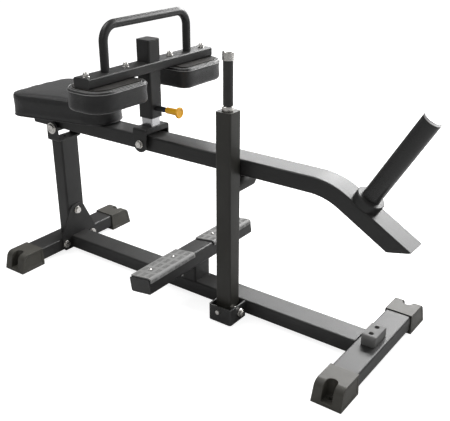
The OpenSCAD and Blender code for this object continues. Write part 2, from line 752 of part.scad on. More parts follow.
// Upholstered cushion on z = 0 with a pocket below for its board, drawn-in sides and a crown
module cushion(outline, centre, h, crown, round, pocket_h, waist) {
    edge = inset(outline, round * 1.25, h);
    crowns = [for (s = [0.8, 0.58, 0.36, 0.16])
        shrink(edge, centre, s, h + crown * (1 - pow(s, 2)))];
    skin(concat([
        inset(outline, board_edge, pocket_h),
        inset(outline, board_edge, 0),
        inset(outline, 7, 0),
        inset(outline, 2, 2.5),
        inset(outline, 0, 7),
        inset(outline, waist * 0.7, h * 0.26),
        inset(outline, waist, h * 0.42),
        inset(outline, waist * 0.7, h * 0.58),
        inset(outline, 0, h - round * 0.95),
        inset(outline, round * 0.12, h - round * 0.55),
        inset(outline, round * 0.42, h - round * 0.2)],
        [edge], crowns),
        [centre[0], centre[1], pocket_h], [centre[0], centre[1], h + crown]);
}

module flat_outline(outline, d) polygon([for (p = inset(outline, d, 0)) [p[0], p[1]]]);

module seat_board() color(wood) difference() {
    translate([face_x, 0, seat_z]) linear_extrude(board_t)
        flat_outline(seat_outline, board_edge + soft_gap);
    for (x = seat_bolt_x) translate([face_x + x, 0, seat_z - 1])
        cylinder(d = seat_bolt_d + 2 * hole_gap, h = board_t - 1);
}

module seat_cushion() color(leather) translate([face_x, 0, seat_z])
    cushion(seat_outline, [(seat_front - seat_back) / 2, 0], seat_h, seat_crown, seat_round,
    board_t + soft_gap, 2.2);

module seat_bolts() color(zinc) for (x = seat_bolt_x) translate([face_x + x, 0, lever_low]) {
    translate([0, 0, -washer_t]) cylinder(r = washer_w(seat_bolt_d) / 2, h = washer_t);
    translate([0, 0, -washer_t - head_h(seat_bolt_d)])
        cylinder(r = hex_w(seat_bolt_d) / 2 / cos(30), h = head_h(seat_bolt_d), $fn = 6);
    translate([0, 0, -washer_t]) cylinder(d = seat_bolt_d, h = washer_t + lever_h + board_t - 3);
}

// Inverted U over the lever, with rounded flange ends about the mast's pivot and two lips
module mast_bracket() color(paint) difference() {
    union() {
        intersection() {
            translate([mast_x - bracket_l / 2, 0, bracket_top]) along_x()
                linear_extrude(bracket_l) mirror([0, 1])
                polygon(u_pts(bracket_w, bracket_rise + bracket_l, bracket_t, bracket_t + bend_in_r));
            translate([mast_x, -bracket_w, mast_z]) along_y() linear_extrude(2 * bracket_w)
                mirror([0, 1]) round_flange(bracket_l, bracket_rise);
        }
        for (s = [0, 1]) translate([mast_x, 0, bracket_top - lip_h]) mirror([s, 0, 0])
            translate([bracket_l / 2 - bracket_t, -bracket_in - 1, 0])
            cube([bracket_t, 2 * bracket_in + 2, lip_h - bracket_t + 1]);
    }
    translate([mast_x, -bracket_w, mast_z]) along_y()
        cylinder(d = mast_bolt_d + 2 * fit_gap, h = 2 * bracket_w);
    translate([inner_x, 0, bracket_top - bracket_t - 1])
        cylinder(d = joint_bolt_d + 2 * hole_gap, h = bracket_t + 2);
}

module mast_pivot_tube() color(zinc) translate([mast_x, 0, mast_z]) along_y()
    translate([0, 0, side_gap - bracket_in]) difference() {
        cylinder(d = mast_tube_d, h = 2 * (bracket_in - side_gap));
        translate([0, 0, -eps]) cylinder(d = mast_bolt_d + 2 * run_gap, h = 2 * bracket_in);
    }

module mast_bolt() color(zinc) translate([mast_x, -bracket_w / 2, mast_z]) along_y()
    hex_bolt(mast_bolt_d, bracket_w);

module post_fixing_bolt() color(zinc) translate([inner_x, 0, bracket_top - bracket_t]) {
    shank = bracket_t + foot_plate_t;
    washer = 2.5;
    translate([0, 0, -washer]) cylinder(d = 34, h = washer);
    translate([0, 0, -washer - head_h(joint_bolt_d)])
        cylinder(r = hex_w(joint_bolt_d) / 2 / cos(30), h = head_h(joint_bolt_d), $fn = 6);
    translate([0, 0, -washer]) cylinder(d = joint_bolt_d, h = washer + shank + 14);
    translate([0, 0, shank]) cylinder(r = hex_w(joint_bolt_d) / 2 / cos(30), h = 10, $fn = 6);
}

module inner_post() color(chrome) difference() {
    union() {
        translate([inner_x, 0, bracket_top]) linear_extrude(inner_len)
            rr_ring(inner_w, inner_w, inner_r, inner_wall);
        translate([inner_x, 0, bracket_top]) linear_extrude(foot_plate_t)
            rr(inner_w - inner_wall, inner_w - inner_wall, inner_r);
    }
    translate([inner_x, 0, bracket_top - 1])
        cylinder(d = joint_bolt_d + 2 * hole_gap, h = foot_plate_t + 2);
    for (i = [0:hole_count - 1]) translate([inner_x, 0, pin_z + (i - 1) * hole_pitch])
        along_x() cylinder(d = pin_d + 2 * hole_gap, h = inner_w);
}

module inner_post_glide() color(dark_plastic) translate([inner_x, 0, inner_top]) {
    w = sleeve_in - 2 * slide_gap;
    linear_extrude(glide_t) rr(w, w, inner_r);
    translate([0, 0, -14]) linear_extrude(14)
        rr(inner_w - 2 * inner_wall - 2 * fit_gap, inner_w - 2 * inner_wall - 2 * fit_gap, 1.5);
}

module mast_sleeve() color(paint) difference() {
    translate([inner_x, 0, sleeve_low]) linear_extrude(sleeve_len)
        rr_ring(sleeve_w, sleeve_w, tube_r, tube_wall);
    translate([inner_x, 0, pin_z]) along_x() cylinder(d = pin_barrel_d - 2, h = sleeve_w);
}

module guide_bush() color(dark_plastic) difference() {
    hole = inner_w + 2 * slide_gap;
    union() {
        translate([inner_x, 0, sleeve_low]) linear_extrude(guide_len)
            rr(sleeve_in - 2 * fit_gap, sleeve_in - 2 * fit_gap, tube_r - tube_wall);
        translate([inner_x, 0, sleeve_low - guide_flange_t]) linear_extrude(guide_flange_t)
            rr(sleeve_w + 2, sleeve_w + 2, tube_r + 1);
    }
    translate([inner_x, 0, sleeve_low - guide_flange_t - 1]) linear_extrude(guide_len + 4)
        rr(hole, hole, inner_r);
    translate([inner_x, 0, pin_z]) along_x() cylinder(d = pin_d + 1, h = sleeve_w);
}

module sleeve_cap() color(dark_plastic) translate([inner_x, 0, sleeve_top])
    tube_plug(sleeve_w, sleeve_w, tube_wall, tube_r, cap_t, 5);

// The thigh bar is cut out for the sleeve that passes through it
module thigh_bar() color(paint) difference() {
    half = bar_len / 2 - cap_t;
    translate([bar_x, -half, bar_low + bar_h / 2]) along_y() linear_extrude(2 * half)
        rr_ring(bar_w, bar_h, 5, bar_wall);
    translate([inner_x, 0, bar_low - 1]) linear_extrude(bar_h + 2)
        rr(sleeve_w + 2 * fit_gap, sleeve_w + 2 * fit_gap, tube_r);
    for (y = pad_bolt_ys) translate([bar_x, y, bar_low - 1])
        cylinder(d = pad_bolt_d + 2 * hole_gap, h = bar_h + 2);
}

module thigh_bar_caps() color(dark_plastic) for (s = [0, 1]) mirror([0, s, 0])
    translate([bar_x, bar_len / 2 - cap_t, bar_low + bar_h / 2]) along_y()
    tube_plug(bar_w, bar_h, bar_wall, 5, cap_t, 8);

// Round bar bent to a U: two legs, two corners and the grip across the top
module handle_rod(d, below) {
    leg = handle_h - handle_d / 2 - handle_r;
    half = handle_span / 2;
    for (s = [0, 1]) mirror([0, s, 0]) {
        translate([0, half, -below]) cylinder(d = d, h = leg + below);
        translate([0, half - handle_r, leg]) rotate([90, 0, 90]) rotate_extrude(angle = 90)
            translate([handle_r, 0]) circle(d = d);
    }
    translate([0, handle_r - half, leg + handle_r]) along_y()
        cylinder(d = d, h = 2 * (half - handle_r));
}

module handle() color(paint) translate([bar_x, 0, bar_top]) difference() {
    handle_rod(handle_d, 0);
    handle_rod(handle_d - 2 * handle_wall, 1);
}

pad_bolt_ys = [for (s = [-1, 1], t = [-1, 1]) s * (pad_y - 7.5) + t * pad_bolt_span / 2];
pad_x = bar_x;
pad_top = bar_low - 3;

module pad_boards() color(wood) difference() {
    for (s = [0, 1]) mirror([0, s, 0]) translate([pad_x, pad_y, bar_low - board_t]) linear_extrude(board_t)
        flat_outline(pad_outline, board_edge + soft_gap);
    for (y = pad_bolt_ys) translate([pad_x, y, bar_low - board_t + 3])
        cylinder(d = pad_bolt_d + 2 * hole_gap, h = board_t);
}

module thigh_cushion() color(leather) translate([pad_x, pad_y, pad_top]) mirror([0, 0, 1])
    cushion(pad_outline, [0, 0], pad_h - 3, 3, pad_round, board_t - 3 + soft_gap, 2);

module near_thigh_cushion() mirror([0, 1, 0]) thigh_cushion();

module far_thigh_cushion() thigh_cushion();

// Bolts up from the boards with dome nuts on top of the bar
module pad_bolts() color(zinc) for (y = pad_bolt_ys) translate([pad_x, y, 0]) {
    d = pad_bolt_d;
    translate([0, 0, bar_low - board_t + 3.3]) cylinder(d = d, h = board_t - 3.3 + bar_h + 6);
    translate([0, 0, bar_top]) cylinder(d = washer_w(d), h = 1.6);
    translate([0, 0, bar_top + 1.6]) cylinder(r = hex_w(d) / 2 / cos(30), h = 5, $fn = 6);
    translate([0, 0, bar_top + 6.6]) rotate_extrude() polygon(
        concat([[0, 0]], arc_pts(1, 0, hex_w(d) / 2 - 1.3, 0, 90, 6), [[0, hex_w(d) / 2 - 1.3]]));
}

module along_pin(x) translate([x, 0, pin_z]) along_x() children();

module pin_barrel() color(dark_plastic) difference() {
    union() {
        along_pin(sleeve_face) cylinder(d = pin_barrel_d, h = pin_barrel_l);
        along_pin(sleeve_face - tube_wall + fit_gap)
            cylinder(d = pin_barrel_d - 2 - 2 * fit_gap, h = tube_wall + 1);
    }
    along_pin(sleeve_face - tube_wall) cylinder(d = pin_d + 2 * run_gap, h = 2 * pin_barrel_l);
    along_pin(chamber_low_x) cylinder(r = chamber_r, h = chamber_end_x - chamber_low_x);
}

module pin_ring() color(navy) difference() {
    along_pin(barrel_end_x) cylinder(d = pin_barrel_d - 1.6, h = pin_ring_l);
    along_pin(barrel_end_x - 1) cylinder(d = pin_d + 2 * run_gap, h = pin_ring_l + 2);
}

module pin_plunger() color(zinc) {
    along_pin(pin_tip_x + 1) cylinder(d = pin_d, h = ring_end_x - pin_tip_x - 1 + 24);
    along_pin(pin_tip_x) cylinder(d1 = pin_d - 2, d2 = pin_d, h = 1);
    along_pin(shoulder_x) cylinder(r = chamber_r - 0.3, h = shoulder_t);
}

// Compression spring round the pin, from its shoulder to the barrel's outer end
module pin_spring() {
    r = (chamber_r + pin_d / 2) / 2;
    length = chamber_end_x - shoulder_x - shoulder_t - 2 * spring_wire_r - 0.6;
    steps = 12 * spring_turns;
    wire = [for (i = [0:steps]) let (a = 360 * i / 12, slope = length / steps)
        [for (k = [0:5]) let (u = 60 * k)
            [(r + spring_wire_r * cos(u)) * cos(a), (r + spring_wire_r * cos(u)) * sin(a),
            slope * i + spring_wire_r * sin(u)]]];
    color(zinc) along_pin(shoulder_x + shoulder_t + spring_wire_r + 0.3)
        skin(wire, [r, 0, 0], [r * cos(30 * steps), r * sin(30 * steps), length]);
}

// Push-on knob: a stem that slides over the ring, a flared end with a rounded rim and a dish
module pin_knob() {
    stem_r = 8.8;
    end_r = knob_d / 2;
    l = knob_l;
    bore = pin_d / 2 + fit_gap;
    socket = pin_barrel_d / 2 - 0.8 + 0.3;
    depth = pin_travel + 4;
    color(knob_yellow) along_pin(ring_end_x) rotate_extrude() polygon(concat(
        [[socket, -0.5], [stem_r, -0.5], [stem_r + 0.4, 0.3], [stem_r + 1.2, l - 14],
        [stem_r + 2.2, l - 9.5], [end_r - 1, l - 6]],
        arc_pts(end_r - 2.5, l - 3, 3, -20, 90, 5),
        [[end_r - 5, l - 0.6], [end_r - 7, l - 2], [0, l - 2], [0, 24 + fit_gap],
        [bore, 24 + fit_gap], [bore, depth], [socket, depth]]));
}

// Bent sheet, open toward the beam, that carries the catch
module catch_bracket() color(paint) difference() {
    mid = (bracket_rear_x + bracket_front_x) / 2;
    translate([mid, bracket_face_y, catch_bracket_low]) linear_extrude(catch_bracket_h)
        polygon(u_pts(catch_bracket_l, catch_bracket_out, catch_sheet, catch_sheet + 3));
    translate([bracket_rear_x - 1, catch_y, catch_pivot_z]) along_x()
        cylinder(d = catch_bolt_d + 2 * fit_gap, h = catch_bracket_l + 2);
    translate([catch_x, bracket_face_y - 1, stop_z]) along_y()
        cylinder(d = 8 + 2 * fit_gap, h = catch_sheet + 2);
}

module catch_bolt() color(zinc) translate([bracket_rear_x, catch_y, catch_pivot_z]) along_x()
    hex_bolt(catch_bolt_d, catch_bracket_l);

// Washers and lock nut on the bolt that hold the upright sideways
module catch_spacers() color(zinc) {
    r = catch_bolt_d / 2 + fit_gap;
    rear = catch_side_gap - side_gap;
    front = bracket_front_x - catch_sheet - catch_front_x - side_gap;
    translate([bracket_rear_x + catch_sheet, catch_y, catch_pivot_z]) along_x()
        spacer(r, washer_w(catch_bolt_d) / 2, rear);
    translate([catch_front_x + side_gap, catch_y, catch_pivot_z]) along_x() {
        spacer(r, washer_w(catch_bolt_d) / 2, 2.5);
        translate([0, 0, 2.5]) spacer(r, catch_bolt_d * 0.8 / cos(30), front - 5, 6);
        translate([0, 0, front - 2.5]) spacer(r, washer_w(catch_bolt_d) / 2, 2.5);
    }
}

module spacer(inner, outer, h, sides = 64) difference() {
    cylinder(r = outer, h = h, $fn = sides);
    translate([0, 0, -eps]) cylinder(r = inner, h = h + 2 * eps);
}

module catch_stop_screw() color(zinc) translate([catch_x, 0, stop_z]) {
    head_y = bracket_face_y - 6;
    translate([0, head_y, 0]) along_y() cylinder(d = 13, h = 6);
    translate([0, head_y, 0]) along_y() cylinder(d = 8, h = stop_tip_y - head_y - 2);
    translate([0, stop_tip_y - 2, 0]) along_y() cylinder(d1 = 8, r2 = stop_tip_r, h = 2);
    translate([0, bracket_face_y + catch_sheet, 0]) along_y() cylinder(r = 7.5, h = 5, $fn = 6);
}

// Square tube with end plates, chamfered at its foot where it swings past the beam
module catch_upright() color(paint) difference() {
    union() {
        translate([catch_x, catch_y, catch_low]) linear_extrude(catch_top - catch_low)
            rr_ring(catch_w, catch_w, tube_r, tube_wall);
        translate([catch_x, catch_y, catch_top - tube_wall]) linear_extrude(tube_wall)
            rr(catch_w - tube_wall, catch_w - tube_wall, tube_r - 1);
    }
    translate([catch_rear_x - 1, catch_y + catch_w / 2, catch_low]) rotate([45, 0, 0])
        translate([0, -4.5, -4.5]) cube([catch_w + 2, 9, 9]);
    translate([catch_rear_x - 1, catch_y, catch_pivot_z]) along_x()
        cylinder(d = catch_bolt_d + 2 * run_gap, h = catch_w + 2);
    translate([catch_x, catch_y, catch_top - 2 * tube_wall])
        cylinder(d = grip_rod_d + 2 * fit_gap, h = 3 * tube_wall);
    translate([catch_x, catch_y, peg_z]) along_y()
        cylinder(d = peg_core_d + 2 * fit_gap, h = catch_w);
}

peg_root_y = catch_y + catch_w / 2;

module catch_peg() color(paint) translate([catch_x, 0, peg_z]) {
    core_low = peg_root_y - catch_w + tube_wall + 1;
    translate([0, core_low, 0]) along_y()
        cylinder(d = peg_core_d, h = peg_over - 12 - core_low);
    translate([0, peg_root_y, 0]) along_y() cylinder(d = peg_d + 2, h = peg_ring_t);
}

// Sleeve on the peg's core with a rounded end
module catch_peg_sleeve() color(paint) {
    l = peg_over - peg_root_y - peg_ring_t;
    r = peg_d / 2;
    bore = peg_core_d / 2 + fit_gap;
    translate([catch_x, peg_root_y + peg_ring_t, peg_z]) along_y() rotate_extrude() polygon(concat(
        [[bore, 0], [r, 0]], arc_pts(r - peg_round, l - peg_round, peg_round, 0, 90, 6),
        [[0, l], [0, l - 12 + fit_gap], [bore, l - 12 + fit_gap]]));
}

grip_low = catch_top + grip_collar_h;

module grip_rod() color(zinc) translate([catch_x, catch_y, catch_top - 30])
    cylinder(d = grip_rod_d, h = 30 + grip_collar_h + grip_len + 12);

module grip_collar() color(zinc) translate([catch_x, catch_y, catch_top]) rotate_extrude() polygon(
    [[grip_rod_d / 2 + fit_gap, 0], [15.25, 0], [16.25, 1], [16.25, grip_collar_h - 1],
    [15.25, grip_collar_h], [grip_rod_d / 2 + fit_gap, grip_collar_h]]);

module grip_sleeve() color(rubber) translate([catch_x, catch_y, grip_low])
    spacer(grip_rod_d / 2 + fit_gap, grip_d / 2, grip_len);

module grip_cap() color(zinc) translate([catch_x, catch_y, grip_low + grip_len]) {
    r = grip_d / 2 + 2;
    bore = grip_rod_d / 2 + fit_gap;
    h = grip_cap_h;
    rotate_extrude() polygon(concat([[bore, 0], [r - 0.8, 0], [r, 0.8]],
        arc_pts(r - 5, h - 5, 5, 0, 90, 5), [[0, h], [0, 12 + fit_gap], [bore, 12 + fit_gap]]));
}

// Frame of the tilted foot bar: its middle at the origin, z out of its top
module on_rest() translate([rest_x, 0, rest_z]) rotate([0, -rest_tilt, 0]) children();

module foot_rest_post() color(paint) difference() {
    translate([face_x + rest_reach + rest_post_d / 2, 0, base_top])
        linear_extrude(rest_z - base_top) rr_ring(rest_post_d, base_w, tube_r, tube_wall);
    on_rest() translate([-rest_bar_w, -base_w, -rest_bar_h / 2])
        cube([2 * rest_bar_w, 2 * base_w, 3 * rest_bar_h]);
}

rest_half = rest_len / 2 - cap_t;

module foot_rest_bar() color(paint) on_rest() translate([0, -rest_half, 0]) along_y()
    linear_extrude(2 * rest_half) rr_ring(rest_bar_w, rest_bar_h, tube_r, tube_wall);

module foot_rest_caps() color(dark_plastic) on_rest() for (s = [0, 1]) mirror([0, s, 0])
    translate([0, rest_half, 0]) along_y()
    tube_plug(rest_bar_w, rest_bar_h, tube_wall, tube_r, cap_t, 15);

// Treads that lie on the bar and wrap over its front edge
module tread_pads() color(rubber) {
    w = rest_bar_w;
    h = rest_bar_h;
    t = tread_t;
    front = w / 2 + soft_gap;
    top = h / 2 + soft_gap;
    profile = concat([[3 - w / 2, top], [front - tube_r, top]],
        arc_pts(front - tube_r, top - tube_r, tube_r, 90, 0), [[front, top - tread_wrap],
        [front + t, top - tread_wrap]], arc_pts(front - tube_r, top - tube_r, tube_r + t, 0, 90),
        [[3 - w / 2, top + t]]);
    on_rest() difference() {
        for (s = [0, 1]) mirror([0, s, 0]) translate([0, tread_out, 0]) rotate([90, 0, 0])
            linear_extrude(tread_out - tread_in) polygon(profile);
        for (s = [-1, 1], y = tread_screw_y) translate([-5, s * y, 0])
            cylinder(d = 5 + 2 * hole_gap, h = h);
    }
}

// Rubber block with two counterbored holes
module lever_bumper() color(rubber) difference() {
    translate([front_x, 0, base_top]) intersection() {
        linear_extrude(bumper_h) rr(bumper_w, bumper_l, 9);
        translate([-bumper_w, 0, 0]) along_x() linear_extrude(2 * bumper_w) polygon(concat(
            [[-bumper_l / 2, 0], [bumper_l / 2, 0]],
            arc_pts(bumper_l / 2 - 12, bumper_h - 12, 12, 0, 90, 6),
            arc_pts(12 - bumper_l / 2, bumper_h - 12, 12, 90, 180, 6)));
    }
    for (s = [-1, 1]) translate([front_x, s * bumper_screw_span / 2, base_top - 1]) {
        cylinder(d = bumper_screw_d + 2 * hole_gap, h = bumper_h + 2);
        translate([0, 0, 1 + bumper_h / 2]) cylinder(d = 13, h = bumper_h);
    }
}

// Bumper screws in their counterbores, and the tread screws
module small_screws() color(zinc) {
    for (s = [-1, 1]) translate([front_x, s * bumper_screw_span / 2, base_top]) {
        translate([0, 0, -10]) cylinder(d = bumper_screw_d, h = 10 + bumper_h / 2 + 1);
        translate([0, 0, bumper_h / 2]) cylinder(d = 11, h = 5);
    }
    on_rest() for (s = [-1, 1], y = tread_screw_y) translate([-5, s * y, rest_bar_h / 2 + soft_gap]) {
        translate([0, 0, 0.1]) cylinder(d = 5, h = tread_t);
        translate([0, 0, tread_t]) rotate_extrude() polygon(
            concat([[0, 0]], arc_pts(0, -3, 5.6, 32.4, 90, 4)));
    }
}

rear_crossbar();
front_crossbar();
main_beam();
junction_plate();
junction_bolts();
feet();
seat_post();
post_clevis();
pivot_axle();
axle_caps();
pivot_barrel();
pivot_bushes();
lever_tube();
lever_rear_plug();
lever_end_plate();
horn_collar();
horn_core();
horn_sleeve();
horn_end_cap();
seat_board();
seat_cushion();
seat_bolts();
mast_bracket();
mast_pivot_tube();
mast_bolt();
post_fixing_bolt();
inner_post();
inner_post_glide();
mast_sleeve();
guide_bush();
sleeve_cap();
thigh_bar();
thigh_bar_caps();
handle();
pad_boards();
near_thigh_cushion();
far_thigh_cushion();
pad_bolts();
pin_barrel();
pin_ring();
pin_plunger();
pin_spring();
pin_knob();
catch_bracket();
catch_bolt();
catch_spacers();
catch_stop_screw();
catch_upright();
catch_peg();
catch_peg_sleeve();
grip_rod();
grip_collar();
grip_sleeve();
grip_cap();
foot_rest_post();
foot_rest_bar();
foot_rest_caps();
tread_pads();
lever_bumper();
small_screws();
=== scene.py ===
import bpy
import json
import math
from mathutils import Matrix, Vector

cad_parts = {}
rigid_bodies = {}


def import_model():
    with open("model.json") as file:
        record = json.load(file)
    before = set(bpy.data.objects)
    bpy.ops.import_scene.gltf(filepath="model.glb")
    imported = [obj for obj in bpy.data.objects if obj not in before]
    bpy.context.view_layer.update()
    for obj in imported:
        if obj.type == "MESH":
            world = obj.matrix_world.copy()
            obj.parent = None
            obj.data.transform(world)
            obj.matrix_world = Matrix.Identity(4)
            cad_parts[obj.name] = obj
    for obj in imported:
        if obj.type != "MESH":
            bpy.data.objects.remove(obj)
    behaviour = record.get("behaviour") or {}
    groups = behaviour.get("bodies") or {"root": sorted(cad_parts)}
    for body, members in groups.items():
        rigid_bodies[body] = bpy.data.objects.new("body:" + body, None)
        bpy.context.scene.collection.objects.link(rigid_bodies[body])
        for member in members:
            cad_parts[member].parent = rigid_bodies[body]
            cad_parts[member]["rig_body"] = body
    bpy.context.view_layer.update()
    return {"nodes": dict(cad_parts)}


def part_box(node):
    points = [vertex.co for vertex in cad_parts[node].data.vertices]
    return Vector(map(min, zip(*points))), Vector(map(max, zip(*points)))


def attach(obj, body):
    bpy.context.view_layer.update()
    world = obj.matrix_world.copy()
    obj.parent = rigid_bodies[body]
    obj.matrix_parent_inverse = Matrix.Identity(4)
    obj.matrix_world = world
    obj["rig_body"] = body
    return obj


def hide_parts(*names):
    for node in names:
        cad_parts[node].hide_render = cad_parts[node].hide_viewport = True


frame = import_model()
nodes = frame["nodes"]
scene = bpy.context.scene
scene.view_settings.view_transform = "Standard"
print("frame loaded:", len(nodes), "nodes")


# Camera at the photograph's angle, set out from the front face of the seat's post

camera = {
    "fromPost": (1.771, -1.5457, 1.1591),
    "look": (-0.538, 0.738, -0.4067),
    "lens": 57.32,
    "sensor": 36.0,
    "clipEnd": 60,
}


def placeCamera():
    lens = bpy.data.cameras.new("photoCamera")
    lens.lens = camera["lens"]
    lens.sensor_width = camera["sensor"]
    lens.clip_end = camera["clipEnd"]
    body = bpy.data.objects.new("photoCamera", lens)
    postFront = Vector((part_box("seat_post")[1].x, 0, 0))
    body.location = Vector(camera["fromPost"]) + postFront
    body.rotation_euler = Vector(camera["look"]).to_track_quat("-Z", "Y").to_euler()
    scene.collection.objects.link(body)
    scene.camera = body


placeCamera()
print("camera placed")


# Selecting and shaping. Lengths are metres and angles are degrees

meshing = {
    "weld": 0.00002,
    "flatAngle": 0.3,
    "smoothAngle": 38,
    "edgeAngle": 42,
    "edgeSteps": 2,
    "panelSlope": 0.7,
}


def setMode(mode):
    bpy.ops.object.mode_set(mode=mode)


def calm():
    if bpy.context.object and bpy.context.object.mode != "OBJECT":
        setMode("OBJECT")
    bpy.ops.object.select_all(action="DESELECT")


def pick(piece):
    calm()
    piece.select_set(True)
    bpy.context.view_layer.objects.active = piece


def editWhole(piece):
    pick(piece)
    setMode("EDIT")
    bpy.ops.mesh.select_all(action="SELECT")


def editFaces(piece, wanted):
    pick(piece)
    setMode("EDIT")
    bpy.ops.mesh.select_mode(type="FACE")
    bpy.ops.mesh.select_all(action="DESELECT")
    setMode("OBJECT")
    for face in piece.data.polygons:
        face.select = wanted(face)
    setMode("EDIT")


def stepFaces(piece, wanted, steps, slope):
    editFaces(piece, wanted)  # each step is a flat rim and then a rise, or a sink if it is negative
    for rim, rise in steps:
        bpy.ops.mesh.inset(thickness=rim, depth=0, use_individual=True)
        bpy.ops.mesh.inset(thickness=abs(rise) * slope, depth=rise, use_individual=True)
    setMode("OBJECT")


def applyModifiers(piece):
    pick(piece)
    for modifier in list(piece.modifiers):
        bpy.ops.object.modifier_apply(modifier=modifier.name)


def smoothSkin(piece, angle=meshing["smoothAngle"]):
    pick(piece)
    bpy.ops.object.shade_smooth_by_angle(angle=math.radians(angle))
    normals = piece.modifiers.new("faceNormals", "WEIGHTED_NORMAL")
    normals.keep_sharp = True
    applyModifiers(piece)


def softenEdges(piece, width, angle=meshing["edgeAngle"], steps=meshing["edgeSteps"]):
    bevel = piece.modifiers.new("edges", "BEVEL")
    bevel.width = width
    bevel.segments = steps
    bevel.limit_method = "ANGLE"
    bevel.angle_limit = math.radians(angle)
    bevel.use_clamp_overlap = False
    applyModifiers(piece)
    smoothSkin(piece)


def nodeCopy(nodeName, pieceName, flatAngle=meshing["flatAngle"]):
    calm()
    piece = bpy.data.objects.new(pieceName, nodes[nodeName].data.copy())
    scene.collection.objects.link(piece)
    piece.data.materials.clear()
    editWhole(piece)
    bpy.ops.mesh.remove_doubles(threshold=meshing["weld"])
    if flatAngle:
        bpy.ops.mesh.dissolve_limited(angle_limit=math.radians(flatAngle))
    setMode("OBJECT")
    return piece


def applyPlace(piece):
    pick(piece)
    bpy.ops.object.transform_apply(location=True, rotation=True, scale=True)
    return piece


def joinPieces(pieces, name):
    calm()
    for piece in pieces:
        piece.select_set(True)
    bpy.context.view_layer.objects.active = pieces[0]
    bpy.ops.object.join()
    joined = bpy.context.object
    joined.name = name
    return applyPlace(joined)


def bodyOf(nodeName):
    return nodes[nodeName]["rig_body"]


def settle(piece, material, body):
    piece.data.materials.clear()
    piece.data.materials.append(material)
    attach(piece, body)


# Shader node groups, shared by the materials

floatSocket = "NodeSocketFloat"
colourSocket = "NodeSocketColor"


def newGroup(name, inputs, outputs):
    group = bpy.data.node_groups.new(name, "ShaderNodeTree")
    for label, kind, value in inputs:
        socket = group.interface.new_socket(label, in_out="INPUT", socket_type=kind)
        socket.default_value = value
    for label, kind in outputs:
        group.interface.new_socket(label, in_out="OUTPUT", socket_type=kind)
    return group, group.nodes.new("NodeGroupInput"), group.nodes.new("NodeGroupOutput")


def setInputs(node, values):
    for socket, value in values.items():
        node.inputs[socket].default_value = value


def addNode(tree, kind, values=None):
    node = tree.nodes.new("ShaderNode" + kind)
    setInputs(node, values or {})
    return node


def addMath(tree, operation, values=None):
    node = addNode(tree, "Math")
    node.operation = operation
    setInputs(node, values or {})
    return node


def addColourMix(tree):
    node = addNode(tree, "Mix")
    node.data_type = "RGBA"
    return node


def makeGrainGroup():
    group, start, end = newGroup(
        "fineGrain",
        [("Scale", floatSocket, 900.0), ("Cells", floatSocket, 0.5)],
        [("Height", floatSocket), ("Speck", floatSocket)],
    )
    link = group.links.new
    spot = addNode(group, "TexCoord")
    cloud = addNode(group, "TexNoise", {"Detail": 3})
    cells = addNode(group, "TexVoronoi")
    cells.feature = "SMOOTH_F1"
    mixed = addNode(group, "Mix")
    link(spot.outputs["Object"], cloud.inputs["Vector"])
    link(spot.outputs["Object"], cells.inputs["Vector"])
    link(start.outputs["Scale"], cloud.inputs["Scale"])
    link(start.outputs["Scale"], cells.inputs["Scale"])
    link(start.outputs["Cells"], mixed.inputs["Factor"])
    link(cloud.outputs["Fac"], mixed.inputs["A"])
    link(cells.outputs["Distance"], mixed.inputs["B"])
    link(mixed.outputs["Result"], end.inputs["Height"])
    link(cloud.outputs["Fac"], end.inputs["Speck"])
    return group


def makeDriftGroup():
    group, start, end = newGroup(
        "toneDrift",
        [
            ("Tone", colourSocket, (0, 0, 0, 1)),
            ("Lighter", colourSocket, (0.1, 0.1, 0.1, 1)),
            ("Scale", floatSocket, 14.0),
        ],
        [("Color", colourSocket)],
    )
    link = group.links.new
    spot = addNode(group, "TexCoord")
    cloud = addNode(group, "TexNoise", {"Detail": 4})
    spread = addNode(group, "MapRange", {"From Min": 0.32, "From Max": 0.68})
    mixed = addColourMix(group)
    link(spot.outputs["Object"], cloud.inputs["Vector"])
    link(start.outputs["Scale"], cloud.inputs["Scale"])
    link(cloud.outputs["Fac"], spread.inputs["Value"])
    link(spread.outputs["Result"], mixed.inputs["Factor"])
    link(start.outputs["Tone"], mixed.inputs["A"])
    link(start.outputs["Lighter"], mixed.inputs["B"])
    link(mixed.outputs["Result"], end.inputs["Color"])
    return group


def makeDustGroup():
    group, start, end = newGroup(
        "settledDust",
        [("Color", colourSocket, (0, 0, 0, 1)), ("Dust", floatSocket, 0.05)],
        [("Color", colourSocket)],
    )
    link = group.links.new
    shape = addNode(group, "NewGeometry")
    split = addNode(group, "SeparateXYZ")
    facing = addNode(group, "MapRange", {"From Min": 0.5})
    spot = addNode(group, "TexCoord")
    cloud = addNode(group, "TexNoise", {"Scale": 45, "Detail": 6})
    byCloud = addMath(group, "MULTIPLY")
    byAmount = addMath(group, "MULTIPLY")
    mixed = addColourMix(group)
    setInputs(mixed, {"B": (0.42, 0.40, 0.37, 1)})
    link(shape.outputs["Normal"], split.inputs["Vector"])
    link(split.outputs["Z"], facing.inputs["Value"])
    link(spot.outputs["Object"], cloud.inputs["Vector"])
    link(facing.outputs["Result"], byCloud.inputs[0])
    link(cloud.outputs["Fac"], byCloud.inputs[1])
    link(byCloud.outputs["Value"], byAmount.inputs[0])
    link(start.outputs["Dust"], byAmount.inputs[1])
    link(byAmount.outputs["Value"], mixed.inputs["Factor"])
    link(start.outputs["Color"], mixed.inputs["A"])
    link(mixed.outputs["Result"], end.inputs["Color"])
    return group


